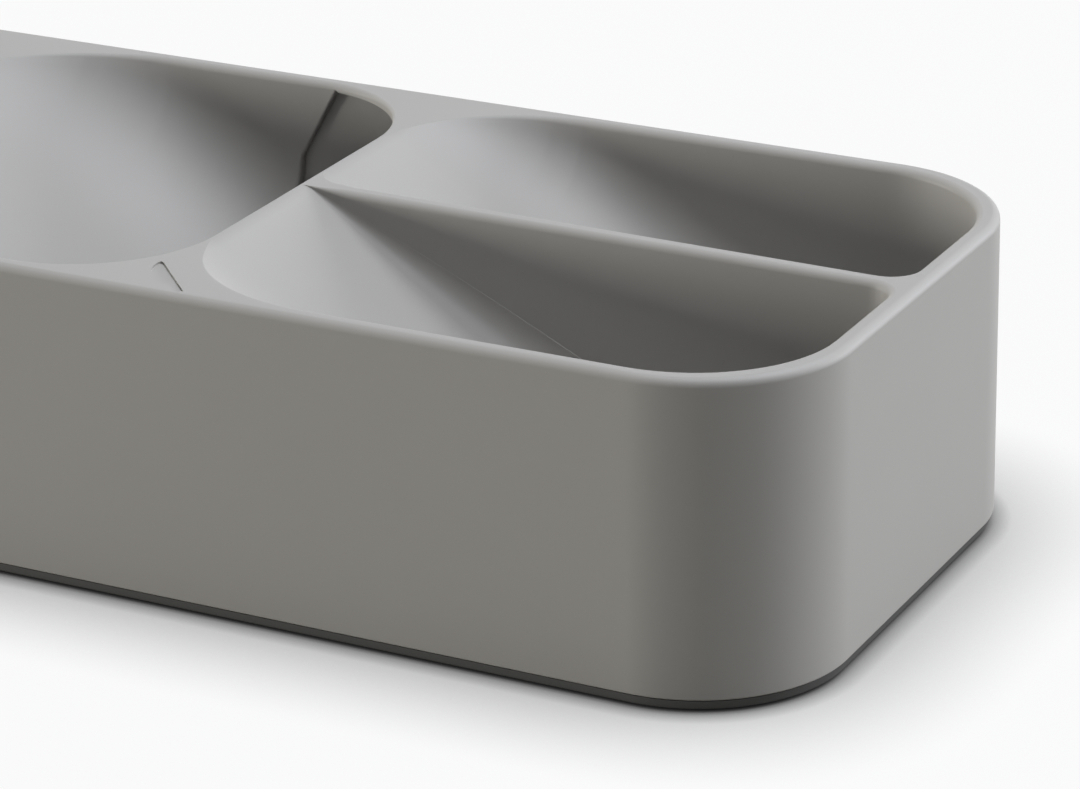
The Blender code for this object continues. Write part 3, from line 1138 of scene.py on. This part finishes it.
    def divider_line(self, toward: Toward, start: float, end: float) -> WallLine:
        """The divider's wall in plan, as the compartment on the given side meets it.

        Args:
            toward: the side that the compartment lies on.
            start: where the compartment starts.
            end: where it ends.

        Returns:
            The wall in plan.
        """
        side = toward.value
        half = side * self.divider_thickness / 2
        return WallLine(
            face=self.divider_start_offset + half,
            toward=-side,
            start=start,
            end=end,
            start_radius=self.divider_corner_radius if toward is Toward.FAR else 0,
            end_radius=self.divider_corner_radius,
            end_face=self.divider_end_offset + half,
            fillet=self.divider_fillet,
            end_fillet=self.divider_end_fillet,
            fade_radius=self.end_corner_radius,
            edge_round=self.inner_rim_round,
            end_edge_round=self.inner_rim_round,
            lip=self.divider_lip,
        )

    def large_space(self, row: int, floor: Slope) -> bmesh.types.BMesh:
        """The space of a full-width compartment above its floor.

        Args:
            row: the compartment's row.
            floor: its floor.

        Returns:
            The working mesh.
        """
        end = self.row_starts[row + 1]
        foot = end - self.mouth_foot
        places = self.stations(floor, end, [self.row_fillet]) + [foot, foot + self.overrun]
        kept = spread(places, self.least_step)
        lines = [self.outer_line(toward, floor.crest, end) for toward in Toward]
        sections = [
            [self.wall_section(floor, line, x, self.joint_gap if x > foot + WELD else 0) for x in kept]
            for line in lines
        ]
        return loft(*sections)

    def small_space(self, toward: Toward, floor: Slope) -> bmesh.types.BMesh:
        """The space of one of the two compartments beside the divider.

        Args:
            toward: the side that it lies on.
            floor: its floor.

        Returns:
            The working mesh.
        """
        start, end = floor.crest, self.inner_right
        outer = replace(
            self.outer_line(toward, start, end),
            fillet=self.end_row_fillet,
            end_fillet=self.end_wall_fillet,
            fade_radius=self.end_corner_radius,
            end_edge_round=self.inner_rim_round,
        )
        inner = self.divider_line(toward, start, end)
        places = self.stations(floor, end, [outer.fillet, inner.fillet])
        small = self.divider_corner_radius
        turns = stops(0, QUARTER, self.round_segments)
        places += [start + small * (1 - math.cos(angle)) for angle in turns][1:]
        places += [end - small + small * math.sin(angle) for angle in turns]
        kept = spread(places, self.least_step)
        return loft(*[[self.wall_section(floor, line, x, 0) for x in kept] for line in (outer, inner)])

    def mouth_outline(self, row: int, floor: Slope) -> list[FlatPoint]:
        """The edge of the opening in the side view, from its foot on the floor to the rim plate.

        Args:
            row: the compartment's row.
            floor: its floor.

        Returns:
            The foot, the knee and the top, as places along the tray and heights.
        """
        end = self.row_starts[row + 1]
        foot = end - self.mouth_foot
        return [
            (foot, floor.height(foot)),
            (end - self.mouth_knee, self.mouth_knee_height),
            (end - self.mouth_top, self.height - self.skin + self.relief),
        ]

    def mouth_space(self, row: int, floor: Slope) -> bmesh.types.BMesh:
        """The slanted opening at the deep end of a full-width compartment, down to the base.

        Args:
            row: the compartment's row.
            floor: its floor.

        Returns:
            The working mesh.
        """
        end = self.row_starts[row + 1] + self.lap
        edge = self.mouth_outline(row, floor)
        outline = edge[::-1] + [
            (floor.toe, floor.foot_height),
            (floor.toe, self.below),
            (end, self.below),
            (end, edge[-1][1]),
        ]
        return prism(outline, self.pocket_side + self.relief)

    def pocket_section(
        self, floor: Slope, fillet: Fillet, toward: Toward, x: float, half_width: float
    ) -> Section:
        """Points up one side of the space under a floor and in along the underside of its fillet.

        Args:
            floor: the floor above the space.
            fillet: the fillet along the floor's edge.
            toward: the side of the tray.
            x: the place along the tray.
            half_width: how far out the space reaches.

        Returns:
            The points, as many at every station.
        """
        depth = max(self.height - floor.height(x), 0)
        radius = min(fillet.radius(depth), self.pocket_fillet_share * depth)
        drop = self.skin / math.cos(floor.slope_angle(x))
        wall_angle = math.asin((radius + self.pocket_side_step) / (radius + self.skin))
        headroom = self.height - self.skin + self.pocket_rise - floor.underside(x)
        rise = min(radius + drop, headroom / (1 - math.cos(wall_angle)))
        sign = toward.value
        points = [(x, sign * half_width, self.pocket_low)]
        for angle in stops(wall_angle, 0, self.fillet_segments):
            y = half_width - self.pocket_side_step - radius + (radius + self.skin) * math.sin(angle)
            z = floor.underside(x) + rise * (1 - math.cos(angle))
            points.append((x, sign * y, z))
        return points

    def reach_mouth(self, points: Section, floor: Slope, slope: float) -> Section:
        """Moves the points of a pocket's last section above the floor on to the edge of the mouth.

        Args:
            points: the section's points.
            floor: the floor above the pocket.
            slope: how steeply the lower part of the mouth's edge rises.

        Returns:
            The points, moved.
        """
        moved = []
        for x, y, z in points:
            above = z - floor.height(x)
            along = 0.0
            if above > -self.skin:
                along = max((above + slope * self.lap) / (slope + math.tan(floor.angle)), 0)
            moved.append((x + along, y, z - along * math.tan(floor.angle)))
        return moved

    def pocket_spaces(self, row: int, floor: Slope) -> list[bmesh.types.BMesh]:
        """The space under a floor. Past the foot of a mouth it is flat below and has its own mesh.

        Args:
            row: the floor's row.
            floor: the floor.

        Returns:
            The working meshes.
        """
        stop = floor.where_underside(self.below)
        start = self.row_starts[row] + self.lap / 2 if row else self.inner_left
        opens = row < self.large_row_count
        end = self.row_starts[row + 1] - self.mouth_foot if opens else stop
        fillet = self.row_fillet if opens else self.end_row_fillet
        places = [start, end] + stops(floor.crest, floor.crest_end, self.round_segments)[1:]
        places += stops(floor.crest_end, floor.where_deep(fillet.settles_at), self.round_segments)
        corner = self.end_corner_radius
        wall = self.outer_line(Toward.FAR, start, self.length, corner)
        if row == 0:
            turns = stops(0, QUARTER, self.round_segments)
            places += [start + corner * (1 - math.cos(angle)) for angle in turns][1:]
        kept = spread((place for place in places if place <= end), self.least_step)
        sides: list[list[Section]] = []
        for toward in Toward:
            side = []
            for x in kept:
                out = wall.outline(x)[0] + self.pocket_side_step if row == 0 else self.pocket_side
                side.append(self.pocket_section(floor, fillet, toward, x, out))
            sides.append(side)
        if not opens:
            return [loft(*sides, flat_ends=True)]
        slope = (self.mouth_knee_height - floor.height(end)) / (self.mouth_foot - self.mouth_knee)
        for side in sides:
            side[-1] = self.reach_mouth(side[-1], floor, slope)
        top = floor.underside(end)
        lapped, narrow = top - self.lap, self.pocket_side - self.lap
        tip: list[list[Section]] = []
        for toward in Toward:
            sign = toward.value
            back = [(end - self.lap, sign * narrow, z) for z in (self.below, lapped)]
            front = [(end, sign * self.pocket_side, z) for z in (self.below, top)]
            tip.append([back, front, [(stop, sign * self.pocket_side, self.below)] * 2])
        return [loft(*sides, flat_ends=True), loft(*tip)]

    def inner_y(self, floor: Slope, line: WallLine, x: float, z: float) -> float:
        """How far out the inner face of an outer wall lies at a place in the side view.

        Args:
            floor: the compartment's floor.
            line: the wall in plan.
            x: the place along the tray.
            z: the height.

        Returns:
            The wall's y.
        """
        below_rim = self.round_segments + 2
        points = self.wall_section(floor, line, x, 0)[below_rim:]
        for (_, y0, z0), (_, y1, z1) in zip(points, points[1:]):
            if z0 >= z >= z1:
                return y0 + (y1 - y0) * (z0 - z) / max(z0 - z1, WELD)
        return points[0][1] if z > points[0][2] else points[-1][1]

    def mouth_edge(self, row: int, floor: Slope, toward: Toward) -> bmesh.types.BMesh:
        """A slim cutter that rounds the slanted edge of a mouth.

        Args:
            row: the compartment's row.
            floor: its floor.
            toward: the wall whose edge is rounded.

        Returns:
            The working mesh, a tube along the edge.
        """
        foot, knee, top = (Vector((x, 0, z)) for x, z in self.mouth_outline(row, floor))
        line = self.outer_line(toward, floor.crest, self.row_starts[row + 1])
        lower = stops(self.mouth_edge_start, 1, self.mouth_edge_steps)
        upper = stops(0, self.mouth_edge_end, self.mouth_top_steps)
        path = [foot.lerp(knee, part) for part in lower] + [knee.lerp(top, part) for part in upper[1:]]
        rings = []
        for index, place in enumerate(path):
            ahead = path[min(index + 1, len(path) - 1)] - path[max(index - 1, 0)]
            opening = Vector((ahead.z, 0, -ahead.x)).normalized()
            rings.append(self.mouth_edge_ring(floor, line, place, opening))
        return tube(rings)

    def mouth_edge_ring(self, floor: Slope, line: WallLine, place: Vector, opening: Vector) -> Section:
        """The outline of the cutter that rounds a mouth's edge, at one place along it.

        Args:
            floor: the compartment's floor.
            line: the wall in plan.
            place: the place on the edge, in the side view.
            opening: the way from the edge into the mouth, in the side view.

        Returns:
            The outline's points.
        """
        here = Vector((place.x, self.inner_y(floor, line, place.x, place.z), place.z))
        grow_x = self.inner_y(floor, line, place.x + self.lap, place.z) - here.y
        grow_z = self.inner_y(floor, line, place.x, place.z + self.lap) - here.y
        inside = Vector((grow_x / self.lap, -1, grow_z / self.lap)) * line.toward
        inside.normalize()
        along = inside.cross(opening).normalized()
        back = inside.cross(along).normalized()
        if back.dot(opening) > 0:
            back.negate()
        deeper = Vector((0, line.toward, 0))
        first = here + back * self.mouth_edge_round
        last = here + deeper * self.mouth_edge_round
        ring = [first + inside * self.relief * 2]
        for part in stops(0, 1, self.mouth_edge_segments):
            rest = 1 - part
            pull = 2 * rest * part * ROUND_WEIGHT
            weight = rest * rest + pull + part * part
            point = first * (rest * rest) + here * pull + last * (part * part)
            ring.append(point / weight)
        ring.append(last + opening * self.relief * 2)
        ring.append(here + (opening + inside) * self.lap)
        return [tuple(point) for point in ring]

    def outer_block(self) -> bmesh.types.BMesh:
        """The tray's outer form, with a rounded rim and a small rounding at the foot.

        Returns:
            The working mesh.
        """
        bm = rounded_block(
            self.length,
            self.width,
            self.bottom,
            self.height,
            self.wall_draft,
            self.outer_corner_radius,
            self.outer_corner_segments,
        )
        bevel(bm, edges_at(bm, self.height), self.outer_rim_round, self.round_segments)
        bevel(bm, edges_at(bm, self.bottom), self.wall_foot_round, self.foot_round_segments)
        return bm

    def build(self) -> bpy.types.Object:
        """Makes the tray from its outer block, less its compartments, mouths and pockets.

        Returns:
            The tray, in the frame of the model.
        """
        body = object_of("tray", mesh_of("tray", self.outer_block()))
        floors = self.floors()
        spaces: list[bmesh.types.BMesh] = []
        for row, floor in enumerate(floors[:-1]):
            spaces += [self.large_space(row, floor), self.mouth_space(row, floor)]
            spaces += [self.mouth_edge(row, floor, toward) for toward in Toward]
        spaces += [self.small_space(toward, floors[-1]) for toward in Toward]
        for row, floor in enumerate(floors):
            spaces += self.pocket_spaces(row, floor)
        for start, pictogram in zip(self.row_starts[1:], self.pictograms):
            spaces.append(pictogram.space(start, self.height, self.overrun))
        cutters = [object_of(f"space_{k}", mesh_of(f"space_{k}", bm)) for k, bm in enumerate(spaces)]
        carve(body, cutters)
        body.data.transform(Matrix.Translation((-self.length / 2, 0, 0)))
        return body

    def dress(self, body: bpy.types.Object) -> None:
        """Shades the tray, gives it its finish and stands it for its solid.

        Args:
            body: the tray.
        """
        smooth(body)
        self.finish.put_on(body)
        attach(body, "root")
        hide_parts(self.node)
        log.info("tray: %d faces", len(body.data.polygons))


@dataclass
class Foot:
    """A low round foot, set into the base panel."""

    node: str
    edge_round: float = 0.0003
    segments: int = 72
    round_segments: int = 5
    sharp_angle: float = math.radians(40)
    finish: MouldedPlastic = RUBBER

    def build(self) -> bpy.types.Object:
        """Makes the foot at its solid's place.

        Returns:
            The foot, in the frame of the model.
        """
        low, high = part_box(self.node)
        radius = (high.x - low.x) / 2
        profile = [(0, high.z), (radius, high.z)]
        for angle in stops(0, QUARTER, self.round_segments):
            out = radius - self.edge_round * (1 - math.cos(angle))
            profile.append((out, low.z + self.edge_round * (1 - math.sin(angle))))
        profile.append((0, low.z))
        bm = turned(profile, self.segments)
        bmesh.ops.translate(bm, verts=bm.verts, vec=((low.x + high.x) / 2, (low.y + high.y) / 2, 0))
        return object_of(self.name(), mesh_of(self.name(), bm))

    def name(self) -> str:
        """The piece's name."""
        return f"{self.node}_rubber"

    def dress(self, foot: bpy.types.Object) -> None:
        """Shades the foot, gives it its finish and stands it for its solid.

        Args:
            foot: the foot.
        """
        smooth(foot, self.sharp_angle)
        self.finish.put_on(foot)
        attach(foot, "root")
        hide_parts(self.node)
        log.info("%s: %d faces", self.node, len(foot.data.polygons))


@dataclass
class BasePanel:
    """The flat panel under the tray, with upright ribs inside the pockets and seats for the feet."""

    tray: Tray
    feet: Sequence[Foot]
    node: str = "base_panel"
    thickness: float = 0.0014
    edge_round: float = 0.0003
    corner_radius: float = 0.0252
    corner_segments: int = 40
    round_segments: int = 3
    rib_thickness: float = 0.0012
    rib_height: float = 0.0035
    rib_start: float = 0.010
    rib_headroom: float = 0.0015
    rib_gap: float = 0.0003
    seat_gap: float = 0.0003
    seat_depth: float = 0.0006
    finish: MouldedPlastic = PANEL_PLASTIC

    def rib(self, row: int, floor: Slope, toward: Toward, top: float) -> bmesh.types.BMesh:
        """An upright rib along one side of the space under a floor.

        Args:
            row: the floor's row.
            floor: the floor.
            toward: the side that the rib stands on.
            top: the height of the panel's upper face.

        Returns:
            The working mesh.
        """
        first = self.corner_radius if row == 0 else self.rib_start
        start = self.tray.row_starts[row] + first
        end = floor.where_underside(top + self.rib_height + self.rib_headroom)
        outer = toward.value * (self.tray.pocket_side - self.rib_gap)
        inner = outer - toward.value * self.rib_thickness
        outline = [(start, outer), (end, outer), (end, inner), (start, inner)]
        return plate(outline, top - self.thickness / 2, top + self.rib_height)

    def seat(self, foot: Foot, bottom: float) -> bmesh.types.BMesh:
        """The round space that a foot is set into.

        Args:
            foot: the foot.
            bottom: the height of the panel's lower face.

        Returns:
            The working mesh.
        """
        low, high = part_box(foot.node)
        radius = (high.x - low.x) / 2 + self.seat_gap
        overrun = self.tray.overrun
        profile = [(0, bottom + self.seat_depth), (radius, bottom + self.seat_depth)]
        profile += [(radius, bottom - overrun), (0, bottom - overrun)]
        bm = turned(profile, foot.segments)
        middle = ((low.x + high.x) / 2 + self.tray.length / 2, (low.y + high.y) / 2, 0)
        bmesh.ops.translate(bm, verts=bm.verts, vec=middle)
        return bm

    def build(self) -> bpy.types.Object:
        """Makes the panel, adds its ribs and cuts the seats.

        Returns:
            The panel, in the frame of the model.
        """
        low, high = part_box(self.node)
        top = low.z + self.thickness
        bm = rounded_block(
            high.x - low.x, high.y - low.y, low.z, top, 0, self.corner_radius, self.corner_segments
        )
        bevel(bm, edges_at(bm, low.z), self.edge_round, self.round_segments)
        bmesh.ops.translate(bm, verts=bm.verts, vec=(low.x + self.tray.length / 2, 0, 0))
        panel = object_of("panel", mesh_of("panel", bm))
        ribs = [
            object_of("rib", mesh_of("rib", self.rib(row, floor, toward, top)))
            for row, floor in enumerate(self.tray.floors())
            for toward in Toward
        ]
        seats = [object_of("seat", mesh_of("seat", self.seat(foot, low.z))) for foot in self.feet]
        carve(panel, ribs, Carving.ADD)
        carve(panel, seats)
        panel.data.transform(Matrix.Translation((-self.tray.length / 2, 0, 0)))
        return panel

    def dress(self, panel: bpy.types.Object) -> None:
        """Shades the panel, gives it its finish and stands it for its solid.

        Args:
            panel: the panel.
        """
        smooth(panel)
        self.finish.put_on(panel)
        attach(panel, "root")
        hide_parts(self.node)
        log.info("base panel: %d faces", len(panel.data.polygons))


COOL: Colour = (0.95, 0.972, 1.035)  # the light that falls from above
WARM: Colour = (1.03, 1.0, 0.94)  # the light that comes back from the room


@dataclass(frozen=True)
class Lamp:
    """A soft square lamp, placed round the tray. Azimuth 0 is the near side, 90 the right end."""

    name: str
    azimuth: float
    elevation: float
    distance: float
    size: float
    strength: float
    tint: Colour

    def hang(self, target: Vector) -> bpy.types.Object:
        """Hangs the lamp so that it faces a point.

        Args:
            target: the point.

        Returns:
            The lamp.
        """
        toward = direction(self.azimuth, self.elevation)
        data = bpy.data.lights.new(self.name, "AREA")
        data.shape = "SQUARE"
        data.size = self.size
        data.energy = LAMP_POWER * self.strength * self.distance**2
        data.color = self.tint
        lamp = bpy.data.objects.new(self.name, data)
        bpy.context.scene.collection.objects.link(lamp)
        lamp.location = target + toward * self.distance
        lamp.rotation_mode = "QUATERNION"
        lamp.rotation_quaternion = (-toward).to_track_quat("-Z", "Y")
        return lamp


@dataclass
class Studio:
    """The floor, the lamps and the camera."""

    # The white paper: the light that it throws back, its looks, and the shade painted round the object
    floor_size: float = 6.0
    floor_colour: Colour = (0.33, 0.32, 0.285)
    backdrop: float = 0.96
    lit_share: float = 0.045
    shade_reach: float = 0.027
    contact_reach: float = 0.004
    shade_depth: float = 0.95
    shade_samples: int = 16

    # The camera, fitted to the edges in the photograph
    camera_place: Point = (0.4386, -0.61377, 0.29866)
    camera_azimuth: float = 26.73
    camera_elevation: float = 21.72
    camera_roll: float = -0.40
    focal_length: float = 148.6
    sensor_width: float = 36.0
    nearest_seen: float = 0.02
    farthest_seen: float = 20.0

    # The lamps, fitted to the tones of the photograph, and the point that they face
    target: Point = (0.05, 0.0, 0.03)
    lamps: tuple[Lamp, ...] = (
        Lamp("lamp_above_right", 119, 68, 3.0, 2.4, 1.07, COOL),
        Lamp("lamp_back_right", 135, 12, 3.0, 1.0, 0.50, COOL),
        Lamp("lamp_low_left", 285, 4.4, 3.0, 0.5, 0.25, WARM),
        Lamp("lamp_low_front_left", 300, 4.4, 3.0, 0.5, 0.45, WARM),
    )

    def looked_at(self, tree: bpy.types.NodeTree) -> bpy.types.NodeSocket:
        """A value that is 1 for the rays that show the surroundings, and 0 for those that light.

        Args:
            tree: the node tree of the floor or the world.

        Returns:
            The socket that gives the value.
        """
        path = tree.nodes.new("ShaderNodeLightPath")
        seen = path.outputs["Is Camera Ray"]
        for kind in ("Is Glossy Ray", "Is Transmission Ray"):
            seen = worked_out(tree, Sum.LARGER, seen, path.outputs[kind])
        return seen

    def shade(self, tree: bpy.types.NodeTree, reach: float) -> bpy.types.NodeSocket:
        """How open a place is, from 0 to 1; the floor's painted shade is made from it.

        Args:
            tree: the material's node tree.
            reach: how far something that stands round it counts.

        Returns:
            The socket that gives the value.
        """
        open_sky = tree.nodes.new("ShaderNodeAmbientOcclusion")
        open_sky.samples = self.shade_samples
        open_sky.inputs["Distance"].default_value = reach
        return worked_out(tree, Sum.POWER, open_sky.outputs["AO"], self.shade_depth)

    def matt(self, tree: bpy.types.NodeTree, colour: Colour) -> bpy.types.NodeSocket:
        """A matt paint of one colour.

        Args:
            tree: the material's node tree.
            colour: the colour.

        Returns:
            The socket that gives the paint.
        """
        paint = tree.nodes.new("ShaderNodeBsdfDiffuse")
        paint.inputs["Color"].default_value = (*colour, 1)
        return paint.outputs["BSDF"]

    def mixed(
        self,
        tree: bpy.types.NodeTree,
        share: Value,
        first: bpy.types.NodeSocket,
        second: bpy.types.NodeSocket,
    ) -> bpy.types.NodeSocket:
        """Mixes two paints or lights.

        Args:
            tree: the material's node tree.
            share: the share of the second.
            first: the first.
            second: the second.

        Returns:
            The socket that gives the mixture.
        """
        mixture = tree.nodes.new("ShaderNodeMixShader")
        feed(tree, share, mixture.inputs["Fac"])
        feed(tree, first, mixture.inputs[1])
        feed(tree, second, mixture.inputs[2])
        return mixture.outputs["Shader"]

    def paper(self) -> bpy.types.Material:
        """The floor's white paper, which looks evenly white but for a painted shade round the object.
        Ambient occlusion darkens its glow there, and only a small share of it is lit by the lamps and
        keeps their real shadow.

        Returns:
            The material.
        """
        paint = bpy.data.materials.new("studio_floor")
        paint.use_nodes = True
        tree = paint.node_tree
        tree.nodes.clear()
        shade, contact = (self.shade(tree, reach) for reach in (self.shade_reach, self.contact_reach))
        both = worked_out(tree, Sum.PRODUCT, shade, contact)
        glow = tree.nodes.new("ShaderNodeEmission")
        # painted shade: ambient occlusion near the object darkens the glow; the lamps do not
        feed(tree, worked_out(tree, Sum.PRODUCT, both, self.backdrop), glow.inputs["Strength"])
        white = self.matt(tree, (self.backdrop, self.backdrop, self.backdrop))
        shown = self.mixed(tree, self.lit_share, glow.outputs["Emission"], white)
        bounce = self.matt(tree, self.floor_colour)
        surface = self.mixed(tree, self.looked_at(tree), bounce, shown)
        output = tree.nodes.new("ShaderNodeOutputMaterial")
        feed(tree, surface, output.inputs["Surface"])
        return paint

    def floor(self) -> bpy.types.Object:
        """Lays the white floor.

        Returns:
            The floor.
        """
        bm = bmesh.new()
        bmesh.ops.create_grid(bm, x_segments=1, y_segments=1, size=self.floor_size / 2)
        ground = object_of("studio_floor", mesh_of("studio_floor", bm))
        ground.data.materials.append(self.paper())
        return ground

    def surroundings(self) -> None:
        """Shows the backdrop's white all round, without lighting anything by it."""
        world = bpy.data.worlds.new("studio")
        bpy.context.scene.world = world
        world.use_nodes = True
        tree = world.node_tree
        level = worked_out(tree, Sum.PRODUCT, self.looked_at(tree), self.backdrop)
        background = tree.nodes["Background"]
        background.inputs["Color"].default_value = (1, 1, 1, 1)
        feed(tree, level, background.inputs["Strength"])

    def camera(self) -> bpy.types.Object:
        """Stands the camera where the photograph was taken from.

        Returns:
            The camera.
        """
        data = bpy.data.cameras.new("camera")
        data.lens = self.focal_length
        data.sensor_width = self.sensor_width
        data.clip_start = self.nearest_seen
        data.clip_end = self.farthest_seen
        made = bpy.data.objects.new("camera", data)
        bpy.context.scene.collection.objects.link(made)
        back = direction(self.camera_azimuth, self.camera_elevation)
        right = Vector((0, 0, 1)).cross(back).normalized()
        up = back.cross(right)
        roll = Matrix.Rotation(math.radians(self.camera_roll), 3, back)
        axes = Matrix((roll @ right, roll @ up, back)).transposed().to_4x4()
        made.matrix_world = Matrix.Translation(self.camera_place) @ axes
        bpy.context.scene.camera = made
        return made

    def set_up(self) -> None:
        """Lays the floor, hangs the lamps and stands the camera."""
        self.floor()
        self.surroundings()
        for lamp in self.lamps:
            lamp.hang(Vector(self.target))
        self.camera()
        bpy.context.scene.view_settings.view_transform = "Standard"


def main() -> None:
    """Builds and dresses every piece, then sets up the studio."""
    logging.basicConfig(level=logging.INFO, format="%(name)s: %(message)s")
    tray = Tray()
    tray.dress(tray.build())
    feet = [Foot(f"foot_{side}_{place}") for side in ("near", "far") for place in (1, 2, 3)]
    for foot in feet:
        foot.dress(foot.build())
    panel = BasePanel(tray, feet)
    panel.dress(panel.build())
    Studio().set_up()


if __name__ == "__main__":
    main()
